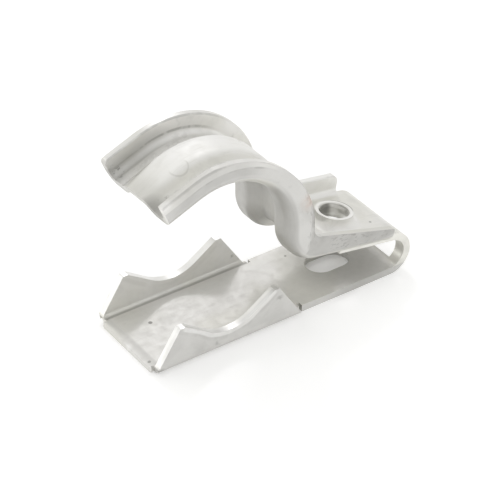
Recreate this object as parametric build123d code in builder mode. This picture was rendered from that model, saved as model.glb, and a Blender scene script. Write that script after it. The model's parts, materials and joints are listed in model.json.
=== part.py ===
from build123d import *
import os
from math import atan, cos, radians, sin, tan

os.makedirs("parts", exist_ok=True)

# One strip of plated steel, folded into a spring clamp for a pipe.
# The origin is under the pipe's axis, on the base's underside. X runs from the
# free end to the folded end, Y is across the strip and Z is up.

# Strip
sheet = 1.6
edge_break = 0.22

# Base plate
base_width = 19.0
base_reach = 17.15
end_corner = 1.3
end_ramp_length = 1.8
end_ramp_drop = 0.35
slot_centre = 31.3
slot_length = 9.9
slot_width = 6.6

# Folded end
fold_centre = 40.35
fold_radius = 4.95
window_width = 13.6
window_arc = 105.0

# Ears that cradle the pipe
ear_bend = 0.8
ear_height = 10.1
ear_tip = 11.2
ear_foot = 17.8
ear_start = 16.6
ear_tip_cut = 0.55
ear_tip_round = 0.4
cradle_slope = 33.5
cradle_radius = 9.4
relief_width = 0.7
relief_depth = 1.0

# Strap over the pipe
pipe_radius = 14.5
pipe_height = 22.0
strap_width = 21.2
flange_height = 5.8
flange_bend = 1.3
shoulder_drop = 0.95
crown_angle = 112.0
tail_length = 7.95
tail_skew = 0.5
tail_corner = 1.2

# Pressed rails, either side of a raised panel
rail_inner = 4.7
panel_half = 2.6
panel_rise = 2.5
tail_rise = 1.5
rail_fade = 6.0
bend_tight = 0.3
bend_wide = 1.0

# Foot plate
foot_slope = 9.3
turn_radius = 8.1
foot_flange_end = 18.6
front_flange_end = 3.4
flange_corner = 1.5

# Burred collar around the screw thread
collar_place = 31.7
collar_height = 2.3
collar_radius = 4.0
collar_flare = 1.85
thread_radius = 3.175
thread_mouth = 3.35
entry_round = 1.3

# Directions along the foot and square to it
slope = radians(foot_slope)
foot_along = Vector(cos(slope), 0, -sin(slope))
foot_up = Vector(sin(slope), 0, cos(slope))
fold_axis = Vector(fold_centre, 0, fold_radius)
foot_start = fold_axis + foot_up * (fold_radius - sheet)

# The turn from the leg to the foot touches both on the pipe's side
turn_x = pipe_radius + turn_radius
turn_z = (foot_start.dot(foot_up) + turn_radius - turn_x * sin(slope)) / cos(slope)
turn_axis = Vector(turn_x, 0, turn_z)
turn_end = turn_axis - foot_up * turn_radius
foot_length = (foot_start - turn_end).length


def channel(rise):
    """Section of the strap, across Y and up from the pipe's side."""
    half = strap_width / 2
    inner = half - sheet
    bend = flange_bend + sheet
    wall = atan(rise / (rail_inner - panel_half))
    shift = sheet * tan(wall / 2)
    with BuildSketch(mode=Mode.PRIVATE) as section:
        with BuildLine():
            Line((0, rise), (panel_half - bend_tight, rise))
            bent((panel_half, rise), 0, wall, bend_tight)
            Line(along_wall(panel_half, rise, wall, bend_tight), along_wall(rail_inner, 0, wall, -bend_wide))
            bent((rail_inner, 0), wall, 0, bend_wide)
            Line((rail_inner + bend_wide, 0), (half - bend, 0))
            RadiusArc((half - bend, 0), (half, bend), -bend)
            Polyline(
                (half, bend),
                (half, flange_height - edge_break),
                (half - edge_break, flange_height),
                (inner + edge_break, flange_height),
                (inner, flange_height - edge_break),
                (inner, bend),
            )
            RadiusArc((inner, bend), (inner - flange_bend, sheet), flange_bend)
            Line((inner - flange_bend, sheet), (rail_inner + shift + bend_tight, sheet))
            bent((rail_inner + shift, sheet), wall, 0, bend_tight)
            Line(
                along_wall(rail_inner + shift, sheet, wall, -bend_tight),
                along_wall(panel_half + shift, rise + sheet, wall, bend_wide),
            )
            bent((panel_half + shift, rise + sheet), 0, wall, bend_wide)
            Polyline((panel_half + shift - bend_wide, rise + sheet), (0, rise + sheet), (0, rise))
        make_face()
        mirror(about=Plane.YZ)
    return section.sketch


def along_wall(y, z, wall, distance):
    """Point at a distance along the sloping wall from one of its corners."""
    return y + distance * cos(wall), z - distance * sin(wall)


def bent(corner, before, after, reach):
    """Bend at a corner of the section, from one downward slope to another."""
    start = along_wall(corner[0], corner[1], before, -reach)
    end = along_wall(corner[0], corner[1], after, reach)
    Bezier(start, corner, end)


def crossing(origin, up, along):
    """Plane across the strip, looking along it, with its Y pointing up."""
    side = Vector(up).cross(Vector(along))
    return Plane(origin=origin, x_dir=side, z_dir=along)


# Frames at the ends of the crown, the leg and the turn
crown_up = Vector(cos(radians(crown_angle)), 0, sin(radians(crown_angle)))
crown_along = Vector(-crown_up.Z, 0, crown_up.X)
crown_end = Vector(0, 0, pipe_height) + crown_up * pipe_radius
tail_end = crown_end + crown_along * tail_length
leg_top = Vector(pipe_radius, 0, pipe_height)
leg_foot = Vector(pipe_radius, 0, turn_z)


def around_fold(angle):
    """Point well outside the fold, at an angle about its axis."""
    reach = 2 * fold_radius
    return fold_centre + reach * cos(radians(angle)), fold_radius + reach * sin(radians(angle))


def corner_outline(radius):
    """What rounding a square corner takes away, with the corner at the origin."""
    with BuildSketch(mode=Mode.PRIVATE) as outline:
        with Locations((-radius / 2, radius / 2)):
            Rectangle(radius, radius)
        with Locations((-radius, radius)):
            Circle(radius, mode=Mode.SUBTRACT)
    return outline.sketch


with BuildPart() as ears:
    # Two bends and walls, along the whole plate
    ear_outer = base_width / 2 + sheet
    bend_foot = base_width / 2 - ear_bend
    with BuildSketch(Plane.YZ):
        with BuildLine():
            Line((bend_foot, sheet), (bend_foot, 0))
            RadiusArc((bend_foot, 0), (ear_outer, ear_bend + sheet), -(ear_bend + sheet))
            Polyline(
                (ear_outer, ear_bend + sheet),
                (ear_outer, ear_height),
                (base_width / 2, ear_height),
                (base_width / 2, ear_bend + sheet),
            )
            RadiusArc((base_width / 2, ear_bend + sheet), (bend_foot, sheet), ear_bend)
        make_face()
        mirror(about=Plane.YZ)
    extrude(amount=2 * ear_foot, both=True)

    # Their outline, seen from the side
    cradle_floor = ear_height - ear_tip * tan(radians(cradle_slope))
    tip_top = ear_height - ear_tip_cut
    tip_outward = ear_tip_cut * (ear_foot - ear_tip) / ear_height
    tip_inward = ear_tip_cut / tan(radians(cradle_slope))
    with BuildSketch(Plane.XZ) as outline:
        with BuildLine():
            Polyline(
                (-ear_start, 0),
                (-ear_start, ear_height * (ear_foot - ear_start) / (ear_foot - ear_tip)),
                (-ear_tip - tip_outward, tip_top),
                (-ear_tip + tip_inward, tip_top),
                (0, cradle_floor),
                (ear_tip - tip_inward, tip_top),
                (ear_tip + tip_outward, tip_top),
                (ear_foot, 0),
                close=True,
            )
        make_face()
        fillet(outline.vertices().group_by(Axis.Y)[-1], ear_tip_round)
        floor = outline.vertices().filter_by_position(Axis.X, -0.1, 0.1).sort_by(Axis.Y)[-1:]
        fillet(floor, cradle_radius)
    extrude(amount=base_width, both=True, mode=Mode.INTERSECT)

# The collar's own frame: along the foot, and up from its underside
collar_origin = foot_start - foot_along * ((fold_centre - collar_place) / cos(slope))
collar_plane = Plane(origin=collar_origin, x_dir=foot_along, z_dir=(0, -1, 0))
collar_axis = Axis(collar_origin, foot_up)
collar_top = sheet + collar_height

with BuildPart() as pipe_strap:
    # Crown over the pipe
    with BuildSketch(crossing(leg_top, (1, 0, 0), (0, 0, -1))):
        add(channel(panel_rise))
    revolve(axis=Axis((0, 0, pipe_height), (0, -1, 0)), revolution_arc=crown_angle)

    # Tail, straight to the free end, where the panel is shallower
    with BuildSketch(crossing(crown_end, crown_up, crown_along)):
        add(channel(panel_rise))
    with BuildSketch(crossing(tail_end, crown_up, crown_along)):
        add(channel(tail_rise))
    loft()

    # Leg, and the turn from it to the foot
    with BuildSketch(crossing(leg_top, (1, 0, 0), (0, 0, -1))):
        add(channel(panel_rise))
    extrude(amount=pipe_height - turn_z)
    with BuildSketch(crossing(leg_foot, (1, 0, 0), (0, 0, -1))):
        add(channel(panel_rise))
    revolve(axis=Axis(turn_axis, (0, -1, 0)), revolution_arc=90 - foot_slope)

    # The rails fade into the foot
    with BuildSketch(crossing(turn_end, foot_up, foot_along)):
        add(channel(panel_rise))
    with BuildSketch(crossing(turn_end + foot_along * rail_fade, foot_up, foot_along)):
        add(channel(0))
    loft()

    # Foot, with its flanges, and the plain strip up to the fold
    with BuildSketch(crossing(turn_end + foot_along * rail_fade, foot_up, foot_along)):
        add(channel(0))
    extrude(amount=foot_flange_end - rail_fade)
    with BuildSketch(crossing(foot_start, foot_up, foot_along * -1)):
        with Locations((0, sheet / 2)):
            Rectangle(base_width, sheet)
    extrude(amount=foot_length - rail_fade)

    # Folded end
    with BuildSketch(crossing(Vector(fold_centre, 0, 0), (0, 0, 1), (1, 0, 0))):
        with Locations((0, sheet / 2)):
            Rectangle(base_width, sheet)
    revolve(axis=Axis(fold_axis, (0, -1, 0)), revolution_arc=180 - foot_slope)

    # Base plate
    with BuildSketch(Plane.XY):
        with BuildLine():
            FilletPolyline(
                (0, base_width / 2),
                (-base_reach, base_width / 2),
                (-base_reach, -base_width / 2),
                (0, -base_width / 2),
                radius=end_corner,
            )
            Line((0, -base_width / 2), (0, base_width / 2))
        make_face()
        with Locations((fold_centre / 2, 0)):
            Rectangle(fold_centre, base_width)
    extrude(amount=sheet)

    # Ears, joined to the plate by their bends
    add(ears.part)

    # Small notches that end each ear's bend
    with BuildSketch(Plane.XY):
        with Locations((-ear_start, 0), (ear_foot, 0)):
            Rectangle(relief_width, base_width + 2 * relief_depth)
            Rectangle(relief_width, base_width - 2 * relief_depth, mode=Mode.SUBTRACT)
    extrude(amount=sheet, mode=Mode.SUBTRACT)

    # Slot in the base for the screw's end
    with BuildSketch(Plane.XY):
        with Locations((slot_centre, 0)):
            SlotOverall(slot_length, slot_width)
    extrude(amount=sheet, mode=Mode.SUBTRACT)

    # The free end's top edge slopes down
    with BuildSketch(Plane.XZ):
        with BuildLine():
            Polyline(
                (-base_reach, sheet - end_ramp_drop),
                (-base_reach + end_ramp_length, sheet),
                (-base_reach, sheet),
                close=True,
            )
        make_face()
    extrude(amount=base_width, both=True, mode=Mode.SUBTRACT)

    # Window through the middle of the fold
    with BuildSketch(Plane.XZ):
        with BuildLine():
            window_middle = -foot_slope / 2
            Polyline(
                (fold_centre, fold_radius),
                around_fold(window_middle - window_arc / 2),
                around_fold(window_middle),
                around_fold(window_middle + window_arc / 2),
                close=True,
            )
        make_face()
    extrude(amount=window_width / 2, both=True, mode=Mode.SUBTRACT)

    # The front flange gets lower towards the fold
    front_full = turn_end + foot_up * flange_height
    front_low = turn_end + foot_along * foot_flange_end + foot_up * front_flange_end
    front_clear = front_low + foot_along + foot_up * flange_height
    with BuildSketch(Plane.XZ):
        with BuildLine():
            Polyline(
                (front_full.X, front_full.Z),
                (front_low.X, front_low.Z),
                (front_clear.X, front_clear.Z),
                close=True,
            )
        make_face()
    extrude(amount=strap_width, mode=Mode.SUBTRACT)

    # The front flange is lower over the shoulder
    edge_circle = pipe_radius + flange_height
    middle_circle = edge_circle - shoulder_drop
    shoulder_start = (edge_circle * cos(radians(98)), pipe_height + edge_circle * sin(radians(98)))
    shoulder_middle = (middle_circle * cos(radians(46)), pipe_height + middle_circle * sin(radians(46)))
    with BuildSketch(Plane.XZ):
        with BuildLine():
            ThreePointArc(shoulder_start, shoulder_middle, (edge_circle, pipe_height))
            Polyline(
                (edge_circle, pipe_height),
                (edge_circle, pipe_height + 2 * edge_circle),
                (shoulder_start[0], pipe_height + 2 * edge_circle),
                shoulder_start,
            )
        make_face()
    extrude(amount=strap_width, mode=Mode.SUBTRACT)

    # The free end is cut a little askew
    with BuildSketch(Plane(origin=tail_end, x_dir=crown_along, z_dir=crown_up)):
        with BuildLine():
            Polyline((0, -strap_width / 2), (-tail_skew, strap_width / 2), (0, strap_width / 2), close=True)
        make_face()
    extrude(amount=strap_width, both=True, mode=Mode.SUBTRACT)

    # Round corners on the flanges' ends
    tail_top = tail_end + crown_up * flange_height
    foot_top = turn_end + foot_along * foot_flange_end + foot_up * flange_height
    for corner, along, side in ((tail_top, crown_along, -1), (foot_top, foot_along, 1)):
        with BuildSketch(Plane(origin=corner, x_dir=along, z_dir=(0, side, 0))):
            add(corner_outline(tail_corner if side < 0 else flange_corner))
        extrude(amount=strap_width, both=True, mode=Mode.SUBTRACT)

    # Collar drawn up around the thread
    with BuildSketch(collar_plane):
        with BuildLine():
            Polyline(
                (0, sheet / 2),
                (collar_radius + collar_flare, sheet / 2),
                (collar_radius + collar_flare, sheet),
            )
            RadiusArc((collar_radius + collar_flare, sheet), (collar_radius, sheet + collar_flare), collar_flare)
            Polyline((collar_radius, sheet + collar_flare), (collar_radius, collar_top), (0, collar_top), (0, sheet / 2))
        make_face()
    revolve(axis=collar_axis)
    with BuildSketch(collar_plane):
        with BuildLine():
            Polyline((thread_radius, entry_round), (thread_radius, collar_top - thread_mouth + thread_radius))
            Polyline(
                (thread_radius, collar_top - thread_mouth + thread_radius),
                (thread_mouth, collar_top),
                (0, collar_top),
                (0, 0),
                (thread_radius + entry_round, 0),
            )
            RadiusArc((thread_radius + entry_round, 0), (thread_radius, entry_round), entry_round)
        make_face()
    revolve(axis=collar_axis, mode=Mode.SUBTRACT)

pipe_strap.part.label = "pipe_strap"
export_step(pipe_strap.part, "parts/pipe_strap.step")
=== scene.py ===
import json
import math

import bmesh
import bpy
from mathutils import Matrix, Vector


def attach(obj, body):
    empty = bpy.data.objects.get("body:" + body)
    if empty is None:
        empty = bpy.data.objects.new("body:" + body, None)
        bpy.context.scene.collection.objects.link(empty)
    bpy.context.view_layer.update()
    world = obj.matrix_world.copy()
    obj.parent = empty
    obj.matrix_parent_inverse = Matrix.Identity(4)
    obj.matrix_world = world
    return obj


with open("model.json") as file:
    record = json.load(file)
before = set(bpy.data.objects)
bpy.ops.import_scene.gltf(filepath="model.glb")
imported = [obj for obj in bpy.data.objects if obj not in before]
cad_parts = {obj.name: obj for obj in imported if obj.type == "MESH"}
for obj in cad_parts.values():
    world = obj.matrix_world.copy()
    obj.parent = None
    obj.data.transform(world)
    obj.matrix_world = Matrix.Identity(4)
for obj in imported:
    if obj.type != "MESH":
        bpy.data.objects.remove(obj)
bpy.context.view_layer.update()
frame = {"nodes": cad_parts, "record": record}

bl_info = {
    "name": "Pipe strap",
    "version": (1, 0, 0),
    "blender": (4, 5, 0),
    "location": "3D View > Sidebar > Pipe strap",
    "description": "Plated steel finish, screw thread, stage and camera for a folded pipe strap",
    "category": "Object",
}

STRAP = "pipe_strap"
thread_mount = next(m for m in frame["record"]["mounts"] if m["name"] == "screw_thread")

# Places on the strip, in millimetres
PIPE_HEIGHT = 22
COLLAR = (32.3, 0, 10.4)
COLLAR_TOP = (32.7, 0, 13.2)
BORE = (32.6, 0, 11.6)
SLOT = (29.5, 0, 0)
RING_DENT = (-5.8, -2.5, 39.7)
FOOT_SLOPE = math.radians(9.3)

# The tail's outward direction in X and Z
TAIL_UP = (-0.37461, 0.92718)

# The ears' cradle: rise of its vee, the vee's floor, and the round at its bottom
CRADLE_RISE = 0.662
CRADLE_FLOOR = 2.69
CRADLE_CENTRE = 13.96
CRADLE_RADIUS = 9.4

# Marks, painted shade and painted glints as balls: centre and radius in millimetres, and how much of the
# radius fades
PITS = (
    ((-9.7, 2.9, 1.6), 0.55, 0.5), ((-16.4, -7.2, 1.5), 0.5, 0.5), ((27.1, 7.4, 1.6), 0.4, 0.6),
    ((25.2, 6.1, 1.6), 0.4, 0.6), ((39.3, -3.7, 10.1), 0.4, 0.6), ((-3.2, -6.5, 1.6), 0.25, 0.6))
# Painted shade in the rails near the tail's end
TAIL_RAIL_SHADE = (
    ((-11.4, -6.4, 35.4), 3.4, 0.8), ((-12.6, 8.8, 34.9), 3.0, 0.8), ((-8.6, -7.2, 37.2), 2.6, 0.8))
# Darker patches on the front flanges of the foot and the tail
FLANGE_PATCHES = (((36.0, -10.9, 13.0), 7.5, 0.7), ((-3.0, -10.8, 38.5), 13.0, 0.6))
EAR_SPOTS = (
    ((11.6, -11.2, 7.2), 1.3, 0.9), ((-14.6, 9.6, 5.4), 0.7, 0.9),
    ((-3.0, -11.2, 2.6), 1.1, 0.9), ((14.0, 9.6, 4.0), 1.2, 0.9))
# Painted highlights: a glint at the tail flange's end and a highlight on the base's free end
GLINTS = (((-14.1, -10.8, 38.6), 2.2, 0.6), ((-17.1, -0.7, 1.3), 1.3, 0.8))

# How far each mark takes the plating towards the tarnish colour. Pits, stains, streaks, spots, scuffs,
# the ring, the rail mottle, the dull edge and the darker flange patches are marks in the plating. All the
# others are painted shade: in the bore, under the foot, inside the leg, along creases and edge lines, in
# the tail's corners and rails, and on the end faces
FILM_AND_SHADE = {
    "leg_inside": 0.5, "under_foot": 0.5, "bore": 1.0, "stains": 1.0, "rolling": 1.0, "blooms": 1.0,
    "pits": 0.62, "tail_rail_shade": 0.85, "corner_shade": 0.62, "panel_shade_at_tail": 0.24, "spots": 0.4, "ring": 0.2,
    "flange_line": 0.36, "crease": 0.5, "shade": 0.42, "top_line": 0.3, "panel_edge": 0.42,
    "rail_mottle": 0.18, "dull_edge": 0.38, "flange_top": 0.12, "tail_end": 0.35, "flange_patches": 0.24,
    "edge_marks": 0.3, "foot_marks": 0.36, "end_bevel": 0.16, "ear_bend": 0.42, "burr_line": 0.13,
    "rim_line": 0.5,
}

# Painted light: how far each place is lifted towards the lightest colour, where the film leaves it. The
# panel, collar, ear cuts, back ear, back foot and rails are brightened as if lit more; the burr band and
# the glints are painted highlights
PAINTED_LIGHT = {
    "panel": 1.0, "collar": 1.0, "ear_cuts": 1.0, "back_foot": 1.0, "glints": 1.0,
    "burr": 0.8, "ear_back": 0.7, "rails": 0.6,
}
PAINTED_LIGHT_COLOUR = (0.95, 0.945, 0.93, 1)
GRAIN_HEIGHT = 0.00002

# The thread's ridge, as shares of its pitch or depth
RIDGE_FOOT = 0.45
RIDGE_CREST = 0.07
RIDGE_START = 1.1
RIDGE_SUNK = 0.08

# The stage, in metres
TABLE_HALF = 3.0
TABLE_GLOW = 0.26
LAMP_TARGET = (0.014, 0, 0.015)
CAMERA_PLACE = (-0.177204, -0.273396, 0.249203)
CAMERA_RIGHT = (0.82206929, -0.56938746, 0.0)
CAMERA_UP = (0.33064498, 0.47737807, 0.81411552)


# Sizes and colours that a user would change

class PlatingSettings(bpy.types.PropertyGroup):
    """The dull zinc plating on the strip."""

    zinc: bpy.props.FloatVectorProperty(
        name="Zinc", description="Main colour of the plating",
        default=(0.85, 0.842, 0.815), subtype="COLOR", min=0, max=1)
    # Painted shade on the strip's front faces and the base's front edge, and duller plating on the base
    # top
    front_shade_and_dull: bpy.props.FloatVectorProperty(
        name="Front shade and dull zinc", description="Darker plating painted as shade on the front faces, and duller plating on the base",
        default=(0.69, 0.683, 0.662), subtype="COLOR", min=0, max=1)
    yellowed: bpy.props.FloatVectorProperty(
        name="Yellowed zinc", description="Warmer patches in the plating",
        default=(0.80, 0.79, 0.70), subtype="COLOR", min=0, max=1)
    # Also the colour of every painted shade on the strip
    tarnish_and_shade: bpy.props.FloatVectorProperty(
        name="Tarnish and shade", description="Dull grey film and the floor of pits",
        default=(0.24, 0.235, 0.22), subtype="COLOR", min=0, max=1)
    rust: bpy.props.FloatVectorProperty(
        name="Rust", description="Faint rust on the outer flange",
        default=(0.60, 0.42, 0.33), subtype="COLOR", min=0, max=1)
    roughness: bpy.props.FloatProperty(
        name="Roughness", description="Roughness of clean plating",
        default=0.43, min=0, max=1, subtype="FACTOR")
    metal: bpy.props.FloatProperty(
        name="Metal", description="How metallic the plating looks",
        default=0.78, min=0, max=1, subtype="FACTOR")


class ThreadSettings(bpy.types.PropertyGroup):
    """The thread cut inside the collar."""

    pitch: bpy.props.FloatProperty(
        name="Pitch", description="Rise of the thread in one turn",
        default=0.00127, min=0.0003, unit="LENGTH")
    depth: bpy.props.FloatProperty(
        name="Depth", description="Height of the ridge above its root",
        default=0.00022, min=0.0001, unit="LENGTH")
    steps: bpy.props.IntProperty(
        name="Steps", description="Segments in one turn of the ridge", default=72, min=12)


class StageSettings(bpy.types.PropertyGroup):
    """White table, soft light and camera."""

    key_power: bpy.props.FloatProperty(
        name="Key lamp", description="Power of the lamp above and behind, at the right",
        default=0.33, min=0, unit="POWER")
    fill_power: bpy.props.FloatProperty(
        name="Fill lamp", description="Power of the lamp at the left",
        default=0.42, min=0, unit="POWER")
    rim_power: bpy.props.FloatProperty(
        name="Rim lamp", description="Power of the lamp behind, at the left",
        default=0.04, min=0, unit="POWER")
    room: bpy.props.FloatProperty(
        name="Room", description="Strength of the even light from all round",
        default=0.79, min=0)
    lens: bpy.props.FloatProperty(
        name="Lens", description="Focal length of the camera",
        default=0.148615, min=0.01, unit="CAMERA")


# Helpers for node trees

class Nodes:
    """Adds nodes to one tree. Values are sockets or plain numbers."""

    def __init__(self, tree):
        self.tree = tree

    def feed(self, socket, value):
        """Link an output to a socket, or set the socket's own value."""
        if isinstance(value, bpy.types.NodeSocket):
            self.tree.links.new(value, socket)
        else:
            socket.default_value = value

    def math(self, operation, *values):
        """One step of arithmetic."""
        node = self.tree.nodes.new("ShaderNodeMath")
        node.operation = operation
        for socket, value in zip(node.inputs, values):
            self.feed(socket, value)
        return node.outputs["Value"]

    def over_all(self, operation, values):
        """The same step over a row of values."""
        result = values[0]
        for value in values[1:]:
            result = self.math(operation, result, value)
        return result

    def all_of(self, *masks):
        """Product of masks."""
        return self.over_all("MULTIPLY", masks)

    def any_of(self, *masks):
        """Largest of masks."""
        return self.over_all("MAXIMUM", masks)

    def sum_of(self, *values):
        return self.over_all("ADD", values)

    def less(self, a, b):
        return self.math("SUBTRACT", a, b)

    def across(self, a, b):
        """Length of the long side over two square sides."""
        squares = self.sum_of(self.math("MULTIPLY", a, a), self.math("MULTIPLY", b, b))
        return self.math("SQRT", squares)

    def ramp(self, value, low, high, to_low=0.0, to_high=1.0):
        """Map a value's range to another, held at its ends."""
        node = self.tree.nodes.new("ShaderNodeMapRange")
        node.interpolation_type = "SMOOTHSTEP"
        self.feed(node.inputs["Value"], value)
        node.inputs["From Min"].default_value = low
        node.inputs["From Max"].default_value = high
        node.inputs["To Min"].default_value = to_low
        node.inputs["To Max"].default_value = to_high
        return node.outputs["Result"]

    def line_along(self, value, middle, width):
        """One on a thin line where a value passes its middle."""
        return self.ramp(self.math("ABSOLUTE", self.less(value, middle)), width, width / 5)

    def blend_colour(self, amount, first, second):
        """Mix of two colours."""
        node = self.tree.nodes.new("ShaderNodeMix")
        node.data_type = "RGBA"
        self.feed(node.inputs[0], amount)
        self.feed(node.inputs[6], first)
        self.feed(node.inputs[7], second)
        return node.outputs[2]

    def parts_of(self, vector):
        """The three parts of a position or direction."""
        node = self.tree.nodes.new("ShaderNodeSeparateXYZ")
        self.feed(node.inputs[0], vector)
        return node.outputs


class SurfaceNodes(Nodes):
    """Nodes of a material, with the place on the object in metres and millimetres."""

    def __init__(self, tree):
        super().__init__(tree)
        coordinates = tree.nodes.new("ShaderNodeTexCoord")
        self.place = coordinates.outputs["Object"]
        self.facing = coordinates.outputs["Normal"]
        scaled = tree.nodes.new("ShaderNodeVectorMath")
        scaled.operation = "SCALE"
        self.feed(scaled.inputs[0], self.place)
        scaled.inputs["Scale"].default_value = 1000
        self.place_mm = scaled.outputs["Vector"]

    def far_from(self, centre):
        """Distance from a point, in millimetres."""
        node = self.tree.nodes.new("ShaderNodeVectorMath")
        node.operation = "DISTANCE"
        self.feed(node.inputs[0], self.place_mm)
        node.inputs[1].default_value = centre
        return node.outputs["Value"]

    def near(self, centre, radius, edge):
        """One inside a ball in millimetres, fading to zero at its edge."""
        return self.ramp(self.far_from(centre), radius, radius * (1 - edge))

    def near_any(self, balls):
        """One inside any of several balls."""
        return self.any_of(*(self.near(*ball) for ball in balls))

    def stretched(self, turn, scale):
        """Position turned about Y and stretched, for marks that run one way."""
        node = self.tree.nodes.new("ShaderNodeMapping")
        self.feed(node.inputs["Vector"], self.place)
        node.inputs["Rotation"].default_value = (0, turn, 0)
        node.inputs["Scale"].default_value = scale
        return node.outputs["Vector"]

    def noise(self, scale, detail=2.0, roughness=0.5, distortion=0.0, where=None):
        """Noise from 0 to 1 on the place on the object."""
        node = self.tree.nodes.new("ShaderNodeTexNoise")
        self.feed(node.inputs["Vector"], self.place if where is None else where)
        node.inputs["Scale"].default_value = scale
        node.inputs["Detail"].default_value = detail
        node.inputs["Roughness"].default_value = roughness
        node.inputs["Distortion"].default_value = distortion
        return node.outputs["Fac"]

    def patchy(self, scale, low, high, least=0.0, most=1.0, **kind):
        """Noise with its middle spread out between two values."""
        return self.ramp(self.noise(scale, **kind), low, high, least, most)


class StripNodes(SurfaceNodes):
    """Nodes of the strip's material, with the measures that its marks follow."""

    def __init__(self, tree):
        super().__init__(tree)
        self.x, self.y, self.z = self.parts_of(self.place_mm)
        self.facing_x, self.facing_y, _ = self.parts_of(self.facing)
        self.sideways = self.math("ABSOLUTE", self.y)
        self.out = self.around_pipe()
        self.mottle = self.noise(620, detail=4, roughness=0.6)
        self.cloud = self.noise(230, detail=3, roughness=0.6)
        rolled = self.stretched(0, (0.12, 1, 0.12))
        self.rolling = self.noise(1300, detail=3, roughness=0.65, where=rolled)

    def around_pipe(self):
        """Distance from the pipe's axis, carried on straight along the tail."""
        up_x, up_z = TAIL_UP
        risen = self.less(self.z, PIPE_HEIGHT)
        out = self.sum_of(self.all_of(self.x, up_x), self.all_of(risen, up_z))
        past = self.less(self.all_of(risen, up_x), self.all_of(self.x, up_z))
        return self.across(out, self.math("MINIMUM", past, 0.0))

    def under_cradle(self):
        """Distance below the ears' cradle, which is a vee with a round bottom."""
        along = self.math("ABSOLUTE", self.x)
        vee = self.sum_of(self.all_of(along, CRADLE_RISE), CRADLE_FLOOR)
        below_vee = self.all_of(self.less(vee, self.z), math.cos(math.atan(CRADLE_RISE)))
        from_centre = self.across(self.x, self.less(self.z, CRADLE_CENTRE))
        below_round = self.less(from_centre, CRADLE_RADIUS)
        step = self.all_of(self.ramp(along, 5.5, 4.9), self.less(below_round, below_vee))
        return self.sum_of(below_vee, step)


# Materials

def new_material(name):
    """An empty node material with its shader and output."""
    material = bpy.data.materials.new(name)
    material.use_nodes = True
    tree = material.node_tree
    tree.nodes.clear()
    output = tree.nodes.new("ShaderNodeOutputMaterial")
    shader = tree.nodes.new("ShaderNodeBsdfPrincipled")
    tree.links.new(shader.outputs["BSDF"], output.inputs["Surface"])
    return material, shader


def opaque(colour):
    return (*colour, 1.0)


def strip_places(n):
    """Masks of the strip's faces, by name."""
    at = {}
    at["front"] = n.ramp(n.y, -10.1, -10.4)
    at["high"] = n.ramp(n.z, 10.7, 11.2)
    at["strap_front"] = n.all_of(at["front"], at["high"])
    at["base_top"] = n.all_of(n.ramp(n.z, 1.9, 1.7), n.ramp(n.z, 1.2, 1.5))
    at["base_edge"] = n.all_of(n.ramp(n.z, 1.6, 1.5), n.ramp(n.y, -9.3, -9.4))
    # Painted shade on the sloped band at the base's free end
    at["end_bevel"] = n.all_of(n.ramp(n.x, -15.0, -15.8), n.ramp(n.z, 2.2, 1.8))
    # Painted shadow on the base under the foot
    at["under_foot"] = n.all_of(n.near((34, -1, 1), 16, 0.8), n.ramp(n.z, 3.5, 2.5))
    # Painted shade on the inside faces of the leg, under the crown
    at["leg_inside"] = n.all_of(n.ramp(n.facing_x, -0.2, -0.6), n.ramp(n.x, 8, 12), n.ramp(n.x, 26, 24))
    # The panel, which also gets painted light
    at["panel"] = n.all_of(
        at["high"], n.ramp(n.out, 17.6, 18.4), n.ramp(n.y, -4.8, -3.6), n.ramp(n.y, 4.8, 3.6))
    # The rails, which get painted light and a mottle
    at["rails"] = n.all_of(
        at["high"], n.ramp(n.out, 17.2, 16.5), n.ramp(n.out, 15.6, 16.0), n.ramp(n.x, 10, 2))
    # Painted shade over the front flange's top edge, which tones down its highlight; the edge is also
    # rougher
    at["flange_top"] = n.all_of(at["high"], n.ramp(n.y, -8.8, -9.0), n.ramp(n.out, 19.7, 19.9))
    # Painted shade on the tail's end face
    at["tail_end"] = n.all_of(at["high"], n.ramp(n.facing_x, -0.7, -0.9), n.ramp(n.y, -8.5, -7.5))
    # The back flange's foot, which gets painted light
    at["back_foot"] = n.all_of(n.ramp(n.y, 7.5, 8.5), n.ramp(n.z, 9.5, 10.5), n.ramp(n.x, 18, 22))
    # The collar, which gets painted light
    at["collar"] = n.near(COLLAR, 6.5, 0.25)
    # Painted shade inside the collar's bore
    at["bore"] = n.all_of(
        n.near(BORE, 3.7, 0.06), n.ramp(n.z, 13.6, 13.0), n.ramp(n.x, 33.2, 34.5, 0.7, 0.15))
    return at


def ear_marks(n, at):
    """The ears' faces and their stains, with a painted highlight and a dark line along their cradles, and
    painted shade in the bend at the back ear's foot.
    """
    ears = n.all_of(n.ramp(n.z, 12.8, 12.4), n.ramp(n.z, 1.9, 2.4), n.ramp(n.x, 17.5, 17.0))
    # The ears' cut edges and the back ear's inner side, which get painted light
    at["ear_cuts"] = n.all_of(ears, n.ramp(n.math("ABSOLUTE", n.facing_y), 0.6, 0.3))
    at["ear_back"] = n.all_of(ears, n.ramp(n.y, 7.0, 7.5))
    wavy_lip = n.sum_of(n.under_cradle(), n.patchy(300, 0.3, 0.7, -0.1, 0.1))
    # Painted highlight: a lighter band along the ears' cradles, where the lip catches the light
    at["burr"] = n.all_of(
        ears, n.ramp(wavy_lip, 1.1, 0.7), n.ramp(n.x, 11.2, 10.4), n.ramp(n.x, -11.2, -10.4))
    # Painted shade: a dark line under the lighter band
    at["burr_line"] = n.all_of(ears, n.line_along(wavy_lip, 1.2, 0.8), n.patchy(380, 0.35, 0.6, 0.2))
    # Painted shade: a dark line in the bend at the foot of the back ear
    at["ear_bend"] = n.all_of(
        n.line_along(n.y, 8.75, 0.5), n.ramp(n.z, 1.4, 1.6), n.ramp(n.z, 3.0, 2.4), n.ramp(n.x, 18, 17))
    at["spots"] = n.all_of(n.near_any(EAR_SPOTS), n.ramp(n.mottle, 0.42, 0.6))


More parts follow.
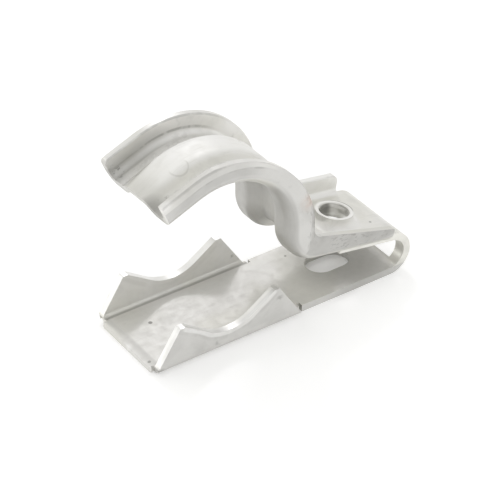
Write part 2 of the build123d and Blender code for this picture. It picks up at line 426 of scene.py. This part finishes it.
def strap_marks(n, at):
    """Painted shade lines at creases and edges, a painted highlight band on the front flange, painted
    shade at the tail's end, and scuffs, rust, streaks and a ring along the strap.
    """
    high, front = at["high"], at["strap_front"]
    # Painted highlight: a lighter band along the upper front flange, where its rounded edge catches the
    # light
    at["rolled"] = n.all_of(front, n.ramp(n.x, 13, 6), n.ramp(n.out, 18.45, 18.75))
    # Painted shade: a dark line under the highlight band on the front flange, broken up by noise
    at["flange_line"] = n.all_of(
        front, n.ramp(n.x, 13, 6), n.ramp(n.x, -11, -8), n.line_along(n.out, 18.45, 0.35),
        n.patchy(420, 0.35, 0.6, 0.25))
    back_inside = n.all_of(high, n.ramp(n.y, 7.0, 7.8), n.ramp(n.y, 9.9, 9.6), n.ramp(n.x, 12, 4))
    # Painted shade: a dark line along the crease inside the back flange, broken up by mottle
    at["crease"] = n.all_of(
        back_inside, n.line_along(n.out, 17.5, 0.5), n.ramp(n.mottle, 0.3, 0.5, 0.45, 1))
    at["shade"] = n.all_of(back_inside, n.ramp(n.out, 21.5, 17.0), n.ramp(n.x, 4, -9))
    # Painted shade: a faint dark line along the top edge of the flanges
    at["top_line"] = n.all_of(
        high, n.line_along(n.sideways, 9.1, 0.32), n.ramp(n.out, 19.8, 20.0), n.ramp(n.x, 14, 8),
        n.patchy(350, 0.35, 0.55, 0.35))
    # Painted shade: a dark line along the panel's back edge, where it steps down to the rail
    at["panel_edge"] = n.all_of(
        high, n.line_along(n.y, 3.5, 0.45), n.ramp(n.out, 17.2, 17.8), n.ramp(n.x, 10, 4),
        n.patchy(500, 0.35, 0.55, 0.3))
    at["rail_mottle"] = n.all_of(at["rails"], n.ramp(n.mottle, 0.45, 0.62))
    at["ring"] = n.all_of(high, n.line_along(n.far_from(RING_DENT), 1.9, 0.3), n.ramp(n.y, -1, -3))
    at["dull_edge"] = n.all_of(
        front, n.ramp(n.out, 19.2, 19.6), n.ramp(n.x, 5, 10), n.ramp(n.z, 16.5, 19.5),
        n.patchy(900, 0.35, 0.6, 0.3, detail=3, where=n.stretched(0, (1, 1, 0.4))))
    at["edge_marks"] = n.all_of(
        n.near((20.2, -10.8, 22.5), 8.5, 0.5), n.ramp(n.out, 18.5, 19.2),
        n.patchy(1500, 0.5, 0.62, detail=3, where=n.stretched(0, (1, 1, 0.35))))
    specks = n.patchy(1500, 0.52, 0.62, roughness=0.7)
    # Painted shade in the rails near the tail's end, broken into specks
    at["tail_rail_shade"] = n.all_of(n.near_any(TAIL_RAIL_SHADE), n.ramp(specks, 0, 1, 0.5, 1))
    # Painted shade in the front and back corners at the tail's end
    back_corner_shade = n.all_of(n.near((-14.4, 8.9, 34.8), 4.4, 0.9), 0.9)
    corner_shade = n.any_of(n.near((-13.8, -5.4, 33.6), 6.0, 0.8), back_corner_shade)
    at["corner_shade"] = n.all_of(corner_shade, n.ramp(n.out, 19.0, 18.0))
    # Painted shade: the panel and rails darker towards the tail's end
    at["panel_shade_at_tail"] = n.all_of(n.near((-12.6, -1.0, 35.0), 8.0, 0.95), n.ramp(n.out, 19.2, 18.6))
    at["rust"] = n.all_of(n.near((18.9, -10.8, 27.0), 3.0, 0.9), n.ramp(n.mottle, 0.3, 0.6, 0.4, 1))


def other_marks(n, at):
    """Marks of the foot, a painted shade line at the collar's rim, darker flange patches, pits, painted
    glints, and wear that is everywhere.
    """
    at["foot_marks"] = n.all_of(
        n.near((32.0, -10.9, 14.0), 9.5, 0.3), at["front"],
        n.patchy(1900, 0.49, 0.62, detail=3, where=n.stretched(-FOOT_SLOPE, (0.5, 1, 1))))
    # Darker patches on the front flanges
    at["flange_patches"] = n.all_of(n.near_any(FLANGE_PATCHES), at["front"])
    # Painted shade: a dark line along the front of the collar's rim
    at["rim_line"] = n.all_of(
        n.line_along(n.far_from(COLLAR_TOP), 4.1, 0.4), n.ramp(n.z, 12.5, 12.9),
        n.ramp(n.y, -3, -1), n.ramp(n.x, 31.5, 33))
    at["pits"] = n.near_any(PITS)
    # Painted highlights
    at["glints"] = n.near_any(GLINTS)
    at["stains"] = n.all_of(
        n.ramp(n.cloud, 0.55, 0.75), n.ramp(n.mottle, 0.45, 0.7), n.ramp(at["base_top"], 0, 1, 0.26, 0.1))
    at["rolling"] = n.all_of(
        n.ramp(n.rolling, 0.52, 0.74, 0, 0.11), n.ramp(at["base_top"], 0, 1, 1, 0.4))
    at["blooms"] = n.all_of(
        n.patchy(120, 0.5, 0.66, 0, 0.09, detail=5, roughness=0.62, distortion=0.6),
        n.ramp(at["base_top"], 0, 1, 1, 0.6))


def strongest(n, at, strengths):
    """Largest of the named masks, each at its own strength."""
    return n.any_of(*(n.all_of(at[name], strength) for name, strength in strengths.items()))


def plated_steel(settings):
    """Dull zinc plating with dull patches, grain, pits, streaks and scuffs, and with painted shade and
    painted light.
    """
    material, shader = new_material("plated_steel_finish")
    n = StripNodes(material.node_tree)
    at = strip_places(n)
    ear_marks(n, at)
    strap_marks(n, at)
    other_marks(n, at)
    base_top = at["base_top"]

    # Colour: warm patches, painted shade on the front faces with a painted highlight band, a duller base,
    # tarnish and painted shade, rust, then painted light on the places that should look lit
    # Tarnish film and painted shade together, each mark at its own strength
    film_and_shade = strongest(n, at, FILM_AND_SHADE)
    warm = n.patchy(60, 0.45, 0.62, 0, 0.35)
    colour = n.blend_colour(warm, opaque(settings.zinc), opaque(settings.yellowed))
    # Painted shade: the front faces and the base's front edge darkened, and the base top a little duller
    dull = n.any_of(n.all_of(base_top, 0.3), at["base_edge"], at["front"])
    # The painted highlight band takes back part of the front shade
    dull = n.any_of(n.less(dull, n.all_of(at["rolled"], 0.75)), 0.0)
    colour = n.blend_colour(dull, colour, opaque(settings.front_shade_and_dull))
    colour = n.blend_colour(film_and_shade, colour, opaque(settings.tarnish_and_shade))
    colour = n.blend_colour(n.all_of(at["rust"], 0.38), colour, opaque(settings.rust))
    # Painted light, kept off where the film or painted shade lies
    clear_of_film = n.any_of(n.less(1.0, n.all_of(film_and_shade, 2.0)), 0.0)
    painted_light = n.all_of(strongest(n, at, PAINTED_LIGHT), clear_of_film, 0.7)
    colour = n.blend_colour(painted_light, colour, PAINTED_LIGHT_COLOUR)
    n.feed(shader.inputs["Base Color"], colour)
    shader.inputs["Metallic"].default_value = settings.metal

    rough = n.sum_of(
        n.ramp(n.mottle, 0.35, 0.7, -0.04, 0.06), settings.roughness, n.all_of(film_and_shade, 0.2),
        n.all_of(n.ramp(n.rolling, 0.35, 0.7, -0.06, 0.06), n.ramp(base_top, 0, 1, 1, 0.3)),
        n.all_of(base_top, 0.16), n.all_of(n.any_of(at["panel"], at["flange_top"]), 0.24))
    n.feed(shader.inputs["Roughness"], rough)

    grain = n.noise(2600, detail=3, roughness=0.6)
    relief = n.sum_of(
        n.all_of(grain, 0.25), n.all_of(n.mottle, 0.6),
        n.all_of(n.cloud, n.ramp(base_top, 0, 1, 0.8, 0.25)),
        n.all_of(n.rolling, n.ramp(base_top, 0, 1, 0.5, 0.05)))
    hollows = n.any_of(at["pits"], at["edge_marks"], at["ring"])
    bump = n.tree.nodes.new("ShaderNodeBump")
    bump.inputs["Strength"].default_value = 0.4
    bump.inputs["Distance"].default_value = GRAIN_HEIGHT
    n.feed(bump.inputs["Height"], n.less(relief, n.all_of(hollows, 0.9)))
    n.feed(shader.inputs["Normal"], bump.outputs["Normal"])
    return material


def table_white():
    """White table that keeps shadows, reads as pure white where it is lit, and has a painted shadow in
    the slot, where its glow is taken away.
    """
    material, shader = new_material("table_white")
    n = SurfaceNodes(material.node_tree)
    shader.inputs["Base Color"].default_value = (0.96, 0.96, 0.96, 1)
    shader.inputs["Roughness"].default_value = 0.6
    shader.inputs["Specular IOR Level"].default_value = 0.2
    shader.inputs["Emission Color"].default_value = (1, 1, 1, 1)
    path = n.tree.nodes.new("ShaderNodeLightPath")
    rays = ("Is Camera Ray", "Is Glossy Ray", "Is Transmission Ray")
    seen = n.any_of(*(path.outputs[ray] for ray in rays))
    # Painted shadow: the glow is taken away under the slot
    lit = n.less(1.0, n.near(SLOT, 11.0, 0.3))
    n.feed(shader.inputs["Emission Strength"], n.all_of(seen, lit, TABLE_GLOW))
    return material


# Pieces

class STRAP_OT_plating(bpy.types.Operator):
    """Give the folded strip its plated finish"""

    bl_idname = "strap.plating"
    bl_label = "Plate the strip"

    def execute(self, context):
        material = plated_steel(context.scene.strap_plating)
        for slot in frame["nodes"][STRAP].material_slots:
            slot.material = material
        return {"FINISHED"}


class STRAP_OT_thread(bpy.types.Operator):
    """Cut the thread's ridge inside the collar"""

    bl_idname = "strap.thread"
    bl_label = "Thread the collar"

    def execute(self, context):
        sizes = context.scene.strap_thread
        centre = Vector(thread_mount["pos_m"])
        axis = Vector(thread_mount["axis"]).normalized()
        wall = thread_mount["dims"]["r_mm"] / 1000
        height = thread_mount["dims"]["length_mm"] / 1000
        foot, crest = RIDGE_FOOT * sizes.pitch, RIDGE_CREST * sizes.pitch
        start = -height / 2 + RIDGE_START * sizes.pitch
        turns = (height / 2 - foot - start) / sizes.pitch
        bm = bmesh.new()
        root, tip = wall + RIDGE_SUNK * sizes.depth, wall - sizes.depth
        outline = ((root, -foot), (tip, -crest), (tip, crest), (root, foot))
        corners = [bm.verts.new((r, 0, start + z)) for r, z in outline]
        face = bm.faces.new(corners)
        steps = int(round(sizes.steps * turns))
        bmesh.ops.spin(
            bm, geom=[face, *face.edges, *corners], cent=(0, 0, 0), axis=(0, 0, 1),
            dvec=(0, 0, turns * sizes.pitch / steps), angle=math.tau * turns, steps=steps,
            use_merge=False, use_duplicate=False)
        bmesh.ops.holes_fill(bm, edges=[e for e in bm.edges if e.is_boundary], sides=4)
        bmesh.ops.recalc_face_normals(bm, faces=bm.faces)
        side = Vector((0, 1, 0))
        turn = Matrix((side.cross(axis), side, axis)).transposed().to_4x4()
        bm.transform(Matrix.Translation(centre) @ turn)
        mesh = bpy.data.meshes.new("collar_thread")
        bm.to_mesh(mesh)
        bm.free()
        mesh.materials.append(bpy.data.materials["plated_steel_finish"])
        thread = bpy.data.objects.new("collar_thread", mesh)
        context.scene.collection.objects.link(thread)
        mesh.polygons.foreach_set("use_smooth", [True] * len(mesh.polygons))
        mesh.set_sharp_from_angle(angle=math.radians(35))
        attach(thread, "root")
        return {"FINISHED"}


# Stage

def area_lamp(name, place, size, power, colour):
    """A square soft lamp, aimed at the strip."""
    data = bpy.data.lights.new(name, "AREA")
    data.shape = "SQUARE"
    data.size = size
    data.energy = power
    data.color = colour
    lamp = bpy.data.objects.new(name, data)
    lamp.location = place
    lamp.rotation_euler = (Vector(place) - Vector(LAMP_TARGET)).to_track_quat("Z", "Y").to_euler()
    bpy.context.scene.collection.objects.link(lamp)


class STRAP_OT_stage(bpy.types.Operator):
    """Set the white table, the lamps, the room light and the camera"""

    bl_idname = "strap.stage"
    bl_label = "Set the stage"

    def execute(self, context):
        plan = context.scene.strap_stage
        bm = bmesh.new()
        bmesh.ops.create_grid(bm, x_segments=1, y_segments=1, size=TABLE_HALF)
        mesh = bpy.data.meshes.new("table")
        bm.to_mesh(mesh)
        bm.free()
        mesh.materials.append(table_white())
        table = bpy.data.objects.new("table", mesh)
        context.scene.collection.objects.link(table)

        area_lamp("key_lamp", (0.21, 0.40, 0.42), 0.08, plan.key_power, (0.98, 0.97, 1))
        area_lamp("rim_lamp", (-0.20, 0.40, 0.39), 0.30, plan.rim_power, (1, 1, 1))
        area_lamp("fill_lamp", (-0.42, 0.36, 0.12), 0.45, plan.fill_power, (1, 1, 0.97))

        world = bpy.data.worlds.new("room")
        world.use_nodes = True
        tree = world.node_tree
        tree.nodes.clear()
        output = tree.nodes.new("ShaderNodeOutputWorld")
        light = tree.nodes.new("ShaderNodeBackground")
        seen = tree.nodes.new("ShaderNodeLightPath").outputs["Is Camera Ray"]
        n = Nodes(tree)
        n.feed(light.inputs["Strength"], n.ramp(seen, 0, 1, plan.room, 1.0))
        tree.links.new(light.outputs["Background"], output.inputs["Surface"])
        light.inputs["Color"].default_value = (1, 1, 0.99, 1)
        context.scene.world = world

        lens = bpy.data.cameras.new("camera")
        lens.lens = plan.lens * 1000
        lens.sensor_width = 36
        lens.clip_start, lens.clip_end = 0.01, 50
        camera = bpy.data.objects.new("camera", lens)
        right, up = Vector(CAMERA_RIGHT), Vector(CAMERA_UP)
        turn = Matrix((right, up, right.cross(up))).transposed().to_4x4()
        camera.matrix_world = Matrix.Translation(CAMERA_PLACE) @ turn
        context.scene.collection.objects.link(camera)
        context.scene.camera = camera
        context.scene.view_settings.view_transform = "Standard"
        return {"FINISHED"}


class STRAP_PT_sidebar(bpy.types.Panel):
    """Lists the pieces and their sizes"""

    bl_idname = "STRAP_PT_sidebar"
    bl_label = "Pipe strap"
    bl_space_type = "VIEW_3D"
    bl_region_type = "UI"
    bl_category = "Pipe strap"

    def draw(self, context):
        scene = context.scene
        parts = (
            (STRAP_OT_plating, scene.strap_plating),
            (STRAP_OT_thread, scene.strap_thread),
            (STRAP_OT_stage, scene.strap_stage),
        )
        for operator, settings in parts:
            box = self.layout.box()
            box.operator(operator.bl_idname)
            for name in settings.__annotations__:
                box.prop(settings, name)


SETTINGS = (
    ("strap_plating", PlatingSettings),
    ("strap_thread", ThreadSettings),
    ("strap_stage", StageSettings),
)
OPERATORS = (STRAP_OT_plating, STRAP_OT_thread, STRAP_OT_stage)


def register():
    for name, group in SETTINGS:
        bpy.utils.register_class(group)
        setattr(bpy.types.Scene, name, bpy.props.PointerProperty(type=group))
    for made in (*OPERATORS, STRAP_PT_sidebar):
        bpy.utils.register_class(made)


def unregister():
    for made in (STRAP_PT_sidebar, *reversed(OPERATORS)):
        bpy.utils.unregister_class(made)
    for name, group in reversed(SETTINGS):
        delattr(bpy.types.Scene, name)
        bpy.utils.unregister_class(group)


def main():
    register()
    bpy.ops.strap.plating()
    bpy.ops.strap.thread()
    bpy.ops.strap.stage()


if __name__ == "__main__":
    main()
